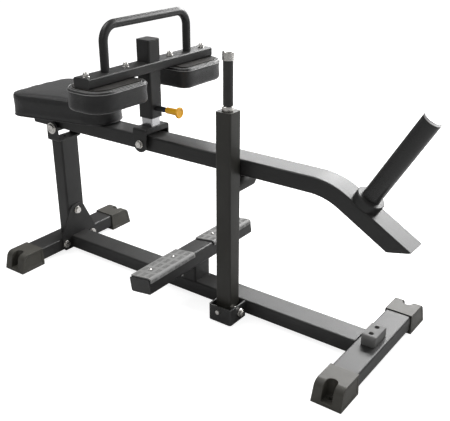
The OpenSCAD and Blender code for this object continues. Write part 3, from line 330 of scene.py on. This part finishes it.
def makeHideGroup():
    group, start, end = newGroup(
        "hideGrain",
        [("Scale", floatSocket, 420.0), ("Creases", floatSocket, 0.35)],
        [("Height", floatSocket), ("Valley", floatSocket)],
    )
    link = group.links.new
    spot = addNode(group, "TexCoord")
    pebbles = addNode(group, "TexVoronoi")
    pebbles.feature = "DISTANCE_TO_EDGE"
    rounded = addNode(group, "MapRange", {"From Max": 0.28})
    rounded.interpolation_type = "SMOOTHSTEP"
    folds = addNode(group, "TexNoise", {"Scale": 30, "Detail": 5, "Distortion": 1.2})
    mixed = addNode(group, "Mix")
    link(spot.outputs["Object"], pebbles.inputs["Vector"])
    link(spot.outputs["Object"], folds.inputs["Vector"])
    link(start.outputs["Scale"], pebbles.inputs["Scale"])
    link(pebbles.outputs["Distance"], rounded.inputs["Value"])
    link(start.outputs["Creases"], mixed.inputs["Factor"])
    link(rounded.outputs["Result"], mixed.inputs["A"])
    link(folds.outputs["Fac"], mixed.inputs["B"])
    link(mixed.outputs["Result"], end.inputs["Height"])
    link(rounded.outputs["Result"], end.inputs["Valley"])
    return group


def makeBrushedGroup():
    group, start, end = newGroup(
        "turnedMetal",
        [("Scale", floatSocket, 60.0), ("Stretch", floatSocket, 12.0)],
        [("Height", floatSocket), ("Streak", floatSocket)],
    )
    link = group.links.new
    spot = addNode(group, "TexCoord")
    longer = addNode(group, "CombineXYZ", {"X": 1, "Y": 1})
    stretched = addNode(group, "VectorMath")
    stretched.operation = "MULTIPLY"
    lines = addNode(group, "TexNoise", {"Detail": 5})
    spangle = addNode(group, "TexVoronoi", {"Scale": 260})
    link(start.outputs["Stretch"], longer.inputs["Z"])
    link(spot.outputs["Object"], stretched.inputs[0])
    link(longer.outputs["Vector"], stretched.inputs[1])
    link(stretched.outputs["Vector"], lines.inputs["Vector"])
    link(start.outputs["Scale"], lines.inputs["Scale"])
    link(spot.outputs["Object"], spangle.inputs["Vector"])
    link(lines.outputs["Fac"], end.inputs["Height"])
    link(spangle.outputs["Distance"], end.inputs["Streak"])
    return group


groups = {
    "grain": makeGrainGroup(),
    "drift": makeDriftGroup(),
    "dust": makeDustGroup(),
    "hide": makeHideGroup(),
    "brushed": makeBrushedGroup(),
}


# Finishes. Scale, cells and depth belong to the grain's group, and specular is 0.5 if not given

looks = {
    "texturedBlack": dict(tone=(0.014, 0.014, 0.0139), lighter=(0.021, 0.021, 0.0206),
        drift=9, rough=(0.36, 0.5), grain="grain", scale=1100, cells=0.55, depth=0.00012,
        dust=0.03),
    "warmBlack": dict(tone=(0.021, 0.0205, 0.017), lighter=(0.030, 0.029, 0.0245),
        drift=9, rough=(0.38, 0.52), grain="grain", scale=1100, cells=0.55, depth=0.00012,
        dust=0.02),
    "footPlastic": dict(tone=(0.045, 0.043, 0.035), lighter=(0.060, 0.057, 0.048),
        drift=16, rough=(0.42, 0.58), grain="grain", scale=1500, cells=0.3, depth=0.00008,
        dust=0.05),
    "capPlastic": dict(tone=(0.02, 0.02, 0.02), lighter=(0.03, 0.03, 0.03),
        drift=20, rough=(0.34, 0.46), grain="grain", scale=1700, cells=0.3, depth=0.00005,
        dust=0.04),
    "polishedSleeve": dict(tone=(0.024, 0.024, 0.024), lighter=(0.030, 0.030, 0.030),
        drift=12, rough=(0.24, 0.30), grain="grain", scale=1400, cells=0.1, depth=0.000006,
        dust=0.01, specular=0.4, coat=0.1),
    "rubber": dict(tone=(0.030, 0.030, 0.029), lighter=(0.042, 0.042, 0.040),
        drift=25, rough=(0.55, 0.7), grain="grain", scale=1300, cells=0.4, depth=0.00008,
        dust=0.06, specular=0.45),
    "treadRubber": dict(tone=(0.21, 0.21, 0.207), lighter=(0.26, 0.26, 0.256),
        drift=25, rough=(0.5, 0.65), grain="grain", scale=1200, cells=0.4, depth=0.0001,
        dust=0.08),
    "bumperRubber": dict(tone=(0.10, 0.10, 0.098), lighter=(0.13, 0.13, 0.128),
        drift=25, rough=(0.5, 0.65), grain="grain", scale=1300, cells=0.4, depth=0.00006,
        dust=0.05),
    "vinyl": dict(tone=(0.013, 0.013, 0.0135), lighter=(0.019, 0.019, 0.0195),
        drift=7, rough=(0.30, 0.44), grain="hide", scale=520, cells=0.3, depth=0.00022,
        dust=0.015, sheen=0.08),
    # Rim piping on the thigh pads: its pale tone is a painted highlight, standing in for back light
    # caught along the rolled edge
    "pipingPaintedHighlight": dict(tone=(0.24, 0.24, 0.236), lighter=(0.30, 0.30, 0.295),
        drift=30, rough=(0.3, 0.42), grain="grain", scale=1300, cells=0.3, depth=0.00003,
        dust=0.0),
    "zinc": dict(tone=(0.78, 0.76, 0.72), lighter=(0.90, 0.88, 0.85),
        drift=60, rough=(0.2, 0.34), grain="brushed", scale=400, cells=6, depth=0.00002,
        dust=0.0, metal=1.0),
    "chrome": dict(tone=(0.50, 0.50, 0.51), lighter=(0.60, 0.60, 0.61),
        drift=30, rough=(0.12, 0.2), grain="brushed", scale=150, cells=4, depth=0.000004,
        dust=0.0, metal=1.0),
    # Chrome for the horn's end cap, made far paler than the post's chrome: a painted highlight
    # standing in for the lamp's reflection
    "capChromePaintedHighlight": dict(tone=(0.95, 0.95, 0.95), lighter=(0.98, 0.98, 0.98),
        drift=30, rough=(0.3, 0.38), grain="brushed", scale=150, cells=4, depth=0.000004,
        dust=0.0, metal=1.0),
    "bronze": dict(tone=(0.42, 0.27, 0.11), lighter=(0.55, 0.37, 0.17),
        drift=60, rough=(0.28, 0.4), grain="brushed", scale=300, cells=3, depth=0.00001,
        dust=0.0, metal=1.0),
    "paintedBoard": dict(tone=(0.016, 0.015, 0.014), lighter=(0.034, 0.030, 0.026),
        drift=30, rough=(0.6, 0.8), grain="brushed", scale=120, cells=0.2, depth=0.00004,
        dust=0.01, specular=0.35),
    "knobAmber": dict(tone=(0.92, 0.43, 0.008), lighter=(0.98, 0.52, 0.02),
        drift=30, rough=(0.26, 0.36), grain="grain", scale=700, cells=0.2, depth=0.00003,
        dust=0.02),
    "navy": dict(tone=(0.010, 0.017, 0.060), lighter=(0.015, 0.026, 0.080),
        drift=40, rough=(0.3, 0.42), grain="grain", scale=900, cells=0.3, depth=0.00004,
        dust=0.02),
}


def addGroup(tree, name, values):
    node = addNode(tree, "Group")
    node.node_tree = groups[name]
    setInputs(node, values)
    return node


def makeFinish(name, look):
    material = bpy.data.materials.new(name)
    material.use_nodes = True
    tree = material.node_tree
    link = tree.links.new
    shader = tree.nodes["Principled BSDF"]
    drift = addGroup(tree, "drift", {
        "Tone": (*look["tone"], 1),
        "Lighter": (*look["lighter"], 1),
        "Scale": look["drift"],
    })
    dust = addGroup(tree, "dust", {"Dust": look["dust"]})
    grain = addGroup(tree, look["grain"], {0: look["scale"], 1: look["cells"]})
    rough = addNode(tree, "MapRange", {
        "From Min": 0.25,
        "From Max": 0.75,
        "To Min": look["rough"][0],
        "To Max": look["rough"][1],
    })
    bump = addNode(tree, "Bump", {"Distance": look["depth"]})
    link(drift.outputs["Color"], dust.inputs["Color"])
    link(dust.outputs["Color"], shader.inputs["Base Color"])
    link(grain.outputs[1], rough.inputs["Value"])
    link(rough.outputs["Result"], shader.inputs["Roughness"])
    link(grain.outputs["Height"], bump.inputs["Height"])
    link(bump.outputs["Normal"], shader.inputs["Normal"])
    setInputs(shader, {
        "Specular IOR Level": look.get("specular", 0.5),
        "Metallic": look.get("metal", 0),
        "Coat Weight": look.get("coat", 0),
        "Sheen Weight": look.get("sheen", 0),
    })
    return material


materials = {name: makeFinish(name, look) for name, look in looks.items()}
print("materials made:", len(materials))


# Studio: white room, pale floor, two broad sheets of light behind and three softer lamps

studio = {
    "ambient": 0.42,
    "reflected": 0.2,
    "white": (1, 1, 1, 1),
    "floorSize": 40,
    "floorTone": (0.48, 0.48, 0.48, 1),
    "floorRough": 0.9,
    "floorShine": 0.1,
    "floorLift": 0.84,
    "lamps": {
        "backSheet": dict(place=(-1.3, 2.9, 1.9), aim=(0.2, 0, 0.3), size=(1.6, 1.2), power=48),
        "tailSheet": dict(place=(0.65, 2.9, 2.15), aim=(0.5, 0, 0.4), size=(2.7, 1.1), power=152),
        "topSheet": dict(place=(-1.0, -0.5, 2.7), aim=(-0.3, 0, 0.5), size=(1.2, 0.8), power=22),
        "sideSheet": dict(place=(2.6, 0.6, 1.5), aim=(0, 0, 0.4), size=(1.4, 1.6), power=8),
        "frontSheet": dict(place=(0.6, -2.6, 2.4), aim=(0, 0, 0.4), size=(1.6, 1.6), power=8),
    },
}


def hangLamp(name, lamp):
    light = bpy.data.lights.new(name, "AREA")
    light.shape = "RECTANGLE"
    light.size, light.size_y = lamp["size"]
    light.energy = lamp["power"]
    holder = bpy.data.objects.new(name, light)
    holder.location = lamp["place"]
    aim = Vector(lamp["aim"]) - Vector(lamp["place"])
    holder.rotation_euler = aim.to_track_quat("-Z", "Y").to_euler()
    scene.collection.objects.link(holder)


def makeWorld():
    ambient = studio["ambient"]
    world = bpy.data.worlds.new("whiteRoom")
    world.use_nodes = True
    tree = world.node_tree
    link = tree.links.new
    path = addNode(tree, "LightPath")
    mirrored = addMath(tree, "MULTIPLY_ADD", {1: studio["reflected"] - ambient, 2: ambient})
    seen = addMath(tree, "MULTIPLY_ADD", {1: 1 - ambient})
    room = tree.nodes["Background"]
    setInputs(room, {"Color": studio["white"]})
    link(path.outputs["Is Glossy Ray"], mirrored.inputs[0])
    link(path.outputs["Is Camera Ray"], seen.inputs[0])
    link(mirrored.outputs["Value"], seen.inputs[2])
    link(seen.outputs["Value"], room.inputs["Strength"])
    scene.world = world


def makeFloor():
    calm()
    bpy.ops.mesh.primitive_plane_add(size=studio["floorSize"])
    floor = bpy.context.object
    floor.name = "studioFloor"
    material = bpy.data.materials.new("paleFloor")
    material.use_nodes = True
    tree = material.node_tree
    link = tree.links.new
    shader = tree.nodes["Principled BSDF"]
    setInputs(shader, {
        "Base Color": studio["floorTone"],
        "Roughness": studio["floorRough"],
        "Specular IOR Level": studio["floorShine"],
        "Emission Color": studio["white"],
    })
    path = addNode(tree, "LightPath")
    lift = addMath(tree, "MULTIPLY", {1: studio["floorLift"]})
    link(path.outputs["Is Camera Ray"], lift.inputs[0])
    link(lift.outputs["Value"], shader.inputs["Emission Strength"])
    floor.data.materials.append(material)


makeWorld()
makeFloor()
for lampName, lampSetting in studio["lamps"].items():
    hangLamp(lampName, lampSetting)
print("studio lit")


# Pieces that keep the construction's shape: softened edges and their own finish

dressing = {
    "texturedBlack": dict(edge=0.0005, slot="powder_coat", nodes=(
        "rear_crossbar", "front_crossbar", "main_beam", "junction_plate", "seat_post",
        "post_clevis", "pivot_barrel", "lever_tube", "lever_end_plate", "horn_collar",
        "mast_bracket", "mast_sleeve", "thigh_bar", "handle", "catch_bracket",
        "foot_rest_post", "foot_rest_bar")),
    "warmBlack": dict(edge=0.0005, slot="powder_coat", nodes=("catch_upright", "catch_peg")),
    "zinc": dict(edge=0.0004, slot="zinc", nodes=(
        "junction_bolts", "pivot_axle", "horn_core", "seat_bolts", "mast_pivot_tube",
        "mast_bolt", "post_fixing_bolt", "pad_bolts", "pin_plunger", "pin_spring",
        "catch_bolt", "catch_spacers", "catch_stop_screw", "grip_rod", "grip_collar",
        "grip_cap", "small_screws")),
    "chrome": dict(edge=0.0004, slot="chrome", nodes=("inner_post",)),
    # The horn's end cap takes the paler chrome copy, a painted highlight
    "capChromePaintedHighlight": dict(edge=0.0004, slot="chrome", nodes=("horn_end_cap",)),
    "bumperRubber": dict(edge=0.0012, slot="rubber", nodes=("lever_bumper",)),
    "bronze": dict(edge=0.0002, slot="bronze", nodes=("pivot_bushes",)),
    "capPlastic": dict(edge=0.0006, slot="plastic", nodes=(
        "lever_rear_plug", "pin_barrel", "inner_post_glide", "guide_bush",
        "thigh_bar_caps")),
    "paintedBoard": dict(edge=0.0005, slot="board", nodes=("seat_board", "pad_boards")),
    "rubber": dict(edge=0.0012, slot="rubber", nodes=("catch_peg_sleeve", "grip_sleeve")),
    "knobAmber": dict(edge=0.0005, slot="knob_yellow", nodes=("pin_knob",)),
    "navy": dict(edge=0.0004, slot="navy", nodes=("pin_ring",)),
}


for finishName, group in dressing.items():
    for nodeName in group["nodes"]:
        coated = nodeCopy(nodeName, nodeName + "_finished")
        softenEdges(coated, group["edge"])
        settle(coated, materials[finishName], bodyOf(nodeName))
        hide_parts(nodeName)
print("construction dressed")


# Feet: moulded shoes with sunk side panels, and a raised ring round each floor bolt's hole

foot = {
    "flatAngle": 0.6,
    "sideways": 0.9,
    "minPanel": 0.0012,
    "panel": ((0.008, -0.0011),),
    "edge": 0.0013,
    "edgeAngle": 30,
    "edgeSteps": 3,
    "holeY": 0.233,
    "ringRadius": 0.0095,
    "ringWide": 0.0013,
    "ringHeight": 0.0102,
    "ringAngle": 60,
    "ringSegments": 32,
    "ringSides": 10,
}


def makeFeet():
    shoes = nodeCopy("feet", "feet_moulded", foot["flatAngle"])
    stepFaces(shoes, lambda face: abs(face.normal.x) > foot["sideways"]
        and face.area > foot["minPanel"], foot["panel"], meshing["panelSlope"])
    softenEdges(shoes, foot["edge"], foot["edgeAngle"], foot["edgeSteps"])
    settle(shoes, materials["footPlastic"], "frame")
    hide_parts("feet")


def makeFootRings():
    rings = []
    for bar in (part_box("rear_crossbar"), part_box("front_crossbar")):
        for side in (-1, 1):
            calm()
            bpy.ops.mesh.primitive_torus_add(
                location=((bar[0].x + bar[1].x) / 2, side * foot["holeY"], foot["ringHeight"]),
                major_radius=foot["ringRadius"], minor_radius=foot["ringWide"],
                major_segments=foot["ringSegments"], minor_segments=foot["ringSides"])
            rings.append(bpy.context.object)
    raised = joinPieces(rings, "foot_hole_rings")
    smoothSkin(raised, foot["ringAngle"])
    settle(raised, materials["footPlastic"], "frame")


makeFeet()
makeFootRings()
print("feet made")


# Caps with a rim and a sunk middle, and the axle's ringed end caps

caps = {
    "edge": 0.0006,
    "outward": 0.95,
    "panel": ((0.0035, -0.0007),),
    "minTop": 0.0015,
    "minEnd": 0.0025,
}

axleCap = {
    "edge": 0.0005,
    "edgeAngle": 40,
    "rings": ((0.003, -0.0008), (0.0022, 0.0008), (0.004, -0.0006)),
    "outerDepth": 0.0004,
    "minFace": 0.0003,
}


def makeCaps():
    faces = {
        "sleeve_cap": lambda face: face.normal.z > caps["outward"] and face.area > caps["minTop"],
        "foot_rest_caps": lambda face: abs(face.normal.y) > caps["outward"]
            and face.area > caps["minEnd"],
    }
    for nodeName, wanted in faces.items():
        cap = nodeCopy(nodeName, nodeName + "_moulded")
        stepFaces(cap, wanted, caps["panel"], meshing["panelSlope"])
        softenEdges(cap, caps["edge"])
        settle(cap, materials["capPlastic"], bodyOf(nodeName))
        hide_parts(nodeName)


def makeAxleCaps():
    discs = nodeCopy("axle_caps", "axle_caps_turned")
    outer = max(abs(v.co.y) for v in discs.data.vertices) - axleCap["outerDepth"]
    stepFaces(discs, lambda face: abs(face.normal.y) > caps["outward"]
        and abs(face.center.y) > outer and face.area > axleCap["minFace"], axleCap["rings"], 1)
    softenEdges(discs, axleCap["edge"], axleCap["edgeAngle"])
    settle(discs, materials["zinc"], bodyOf("axle_caps"))
    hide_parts("axle_caps")


makeCaps()
makeAxleCaps()
print("caps made")


# Weight horn sleeve

hornSleeve = {"edge": 0.0006}


def makeHornSleeve():
    sleeve = nodeCopy("horn_sleeve", "horn_sleeve_polished")
    softenEdges(sleeve, hornSleeve["edge"])
    settle(sleeve, materials["polishedSleeve"], bodyOf("horn_sleeve"))
    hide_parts("horn_sleeve")


makeHornSleeve()
print("horn sleeve made")


# Upholstery: a swollen cover over each cushion, with rolled lines round its rim; the thigh pads'
# lines carry a painted highlight

upholstery = {
    "settleFactor": 0.5,
    "settleRounds": 6,
    "stretchStiffness": 25,
    "bendStiffness": 4,
    "frames": 20,
    "lineSteps": 3,
}
seatCover = {
    "voxel": 0.0045,
    "pressure": 1.2,
    "cap": 0.0016,
    "held": 0.006,
    "lineWide": 0.0032,
    "lineUp": 0.0045,
}
padCover = {
    "voxel": 0.0036,
    "pressure": 1.2,
    "cap": 0.0010,
    "held": 0.006,
    "lineWide": 0.0017,
    "lineDown": (0.0012, 0.0072),
}


def inflate(piece, cover):
    before = [v.co.copy() for v in piece.data.vertices]
    cloth = piece.modifiers.new("cover", "CLOTH")
    cloth.settings.use_pressure = True
    cloth.settings.uniform_pressure_force = cover["pressure"]
    cloth.settings.vertex_group_mass = "held"
    cloth.settings.effector_weights.gravity = 0
    cloth.settings.tension_stiffness = upholstery["stretchStiffness"]
    cloth.settings.compression_stiffness = upholstery["stretchStiffness"]
    cloth.settings.bending_stiffness = upholstery["bendStiffness"]
    for step in range(1, upholstery["frames"] + 1):
        scene.frame_set(step)
    applyModifiers(piece)
    for point, start in zip(piece.data.vertices, before):
        move = point.co - start
        if move.length > cover["cap"]:
            point.co = start + move.normalized() * cover["cap"]
    scene.frame_set(1)


def swell(piece, cover, isHeld):
    even = piece.modifiers.new("even", "REMESH")
    even.mode = "VOXEL"
    even.voxel_size = cover["voxel"]
    applyModifiers(piece)
    smooth = piece.modifiers.new("settled", "SMOOTH")
    smooth.factor = upholstery["settleFactor"]
    smooth.iterations = upholstery["settleRounds"]
    applyModifiers(piece)
    held = piece.vertex_groups.new(name="held")
    held.add([v.index for v in piece.data.vertices if isHeld(v.co)], 1.0, "REPLACE")
    inflate(piece, cover)
    fine = piece.modifiers.new("fine", "SUBSURF")
    fine.levels = 1
    fine.render_levels = 1
    applyModifiers(piece)
    pick(piece)
    bpy.ops.object.shade_smooth()


def rimLine(nodeName, pieceName, height, thickness, finish):
    ring = nodeCopy(nodeName, pieceName, 0)
    editWhole(ring)
    bpy.ops.mesh.bisect(plane_co=(0, 0, height), plane_no=(0, 0, 1), clear_inner=True,
        clear_outer=True)
    setMode("OBJECT")
    bpy.ops.object.convert(target="CURVE")
    ring = bpy.context.object
    ring.data.bevel_depth = thickness / 2
    ring.data.bevel_resolution = upholstery["lineSteps"]
    bpy.ops.object.convert(target="MESH")
    ring = bpy.context.object
    bpy.ops.object.shade_smooth()
    settle(ring, materials[finish], bodyOf(nodeName))


def makeSeat():
    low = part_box("seat_cushion")[0]
    cover = nodeCopy("seat_cushion", "seat_upholstery", 0)
    swell(cover, seatCover, lambda co: co.z < low.z + seatCover["held"])
    settle(cover, materials["vinyl"], bodyOf("seat_cushion"))
    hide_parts("seat_cushion")
    rimLine("seat_cushion", "seat_rim_line", low.z + seatCover["lineUp"],
        seatCover["lineWide"], "vinyl")


def makeThighPads():
    for nodeName in ("near_thigh_cushion", "far_thigh_cushion"):
        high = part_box(nodeName)[1]
        cover = nodeCopy(nodeName, nodeName.replace("cushion", "upholstery"), 0)
        swell(cover, padCover, lambda co: co.z > high.z - padCover["held"])
        settle(cover, materials["vinyl"], bodyOf(nodeName))
        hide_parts(nodeName)
        # The rolled rim lines are real piping; their pale finish is a painted highlight
        for count, down in enumerate(padCover["lineDown"], 1):
            rimLine(nodeName, nodeName.replace("cushion", "rim_line_") + str(count),
                high.z - down, padCover["lineWide"], "pipingPaintedHighlight")


makeSeat()
makeThighPads()
print("upholstery made")


# Treads: rubber covers with groups of short ribs on top and down the front lip

treads = {
    "edge": 0.0008,
    "edgeAngle": 35,
    "ribWide": 0.0026,
    "ribLong": 0.014,
    "ribTall": 0.0012,
    "ribEdge": 0.0004,
    "ribEdgeAngle": 30,
    "ribEdgeSteps": 1,
    "ribAngle": 50,
    "lipLong": 0.0085,
    "pitch": 0.0058,
    "perGroup": 4,
    "groupPitch": 0.0335,
    "groups": 6,
    "rowPitch": 0.0245,
    "rows": 3,
    "facing": 0.85,
    "minFace": 0.00005,
}


def ribField(centre, turn, size, rows):
    calm()
    bpy.ops.mesh.primitive_cube_add(size=1, scale=size)
    rib = applyPlace(bpy.context.object)
    softenEdges(rib, treads["ribEdge"], treads["ribEdgeAngle"], treads["ribEdgeSteps"])
    for label, count, offset in (
        ("group", treads["perGroup"], (0, treads["pitch"], 0)),
        ("groups", treads["groups"], (0, treads["groupPitch"], 0)),
        ("rows", rows, (treads["rowPitch"], 0, 0)),
    ):
        repeat = rib.modifiers.new(label, "ARRAY")
        repeat.count = count
        repeat.use_relative_offset = False
        repeat.use_constant_offset = True
        repeat.constant_offset_displace = offset
    applyModifiers(rib)
    width = treads["rowPitch"] * (rows - 1)
    length = (treads["pitch"] * (treads["perGroup"] - 1)
        + treads["groupPitch"] * (treads["groups"] - 1))
    for point in rib.data.vertices:
        point.co.x -= width / 2
        point.co.y -= length / 2
    rib.rotation_euler.y = turn
    rib.location = centre
    return applyPlace(rib)


def middleOf(piece, side, along):
    mine = [face for face in piece.data.polygons
        if face.center.y * side > 0
        and face.normal.dot(Vector(along)) > treads["facing"]
        and face.area > treads["minFace"]]
    spots = [piece.data.vertices[i].co for face in mine for i in face.vertices]
    reach = [[co[axis] for co in spots] for axis in range(3)]
    middle = Vector([(min(values) + max(values)) / 2 for values in reach])
    return middle, max(mine, key=lambda face: face.area).normal.copy()


def makeTreads():
    covers = nodeCopy("tread_pads", "tread_covers")
    ribWide = treads["ribWide"]
    ribDeep = treads["ribTall"] * 2
    spots = []
    for side in (-1, 1):
        top, up = middleOf(covers, side, (0, 0, 1))
        lip, out = middleOf(covers, side, (1, 0, 0))
        spots.append((top, math.atan2(up.x, up.z),
            (treads["ribLong"], ribWide, ribDeep), treads["rows"]))
        spots.append((lip, math.atan2(-out.z, out.x),
            (ribDeep, ribWide, treads["lipLong"]), 1))
    softenEdges(covers, treads["edge"], treads["edgeAngle"])
    settle(covers, materials["treadRubber"], bodyOf("tread_pads"))
    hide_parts("tread_pads")
    raised = joinPieces([ribField(*spot) for spot in spots], "tread_ribs")
    smoothSkin(raised, treads["ribAngle"])
    settle(raised, materials["treadRubber"], bodyOf("tread_pads"))


makeTreads()
print("treads made")
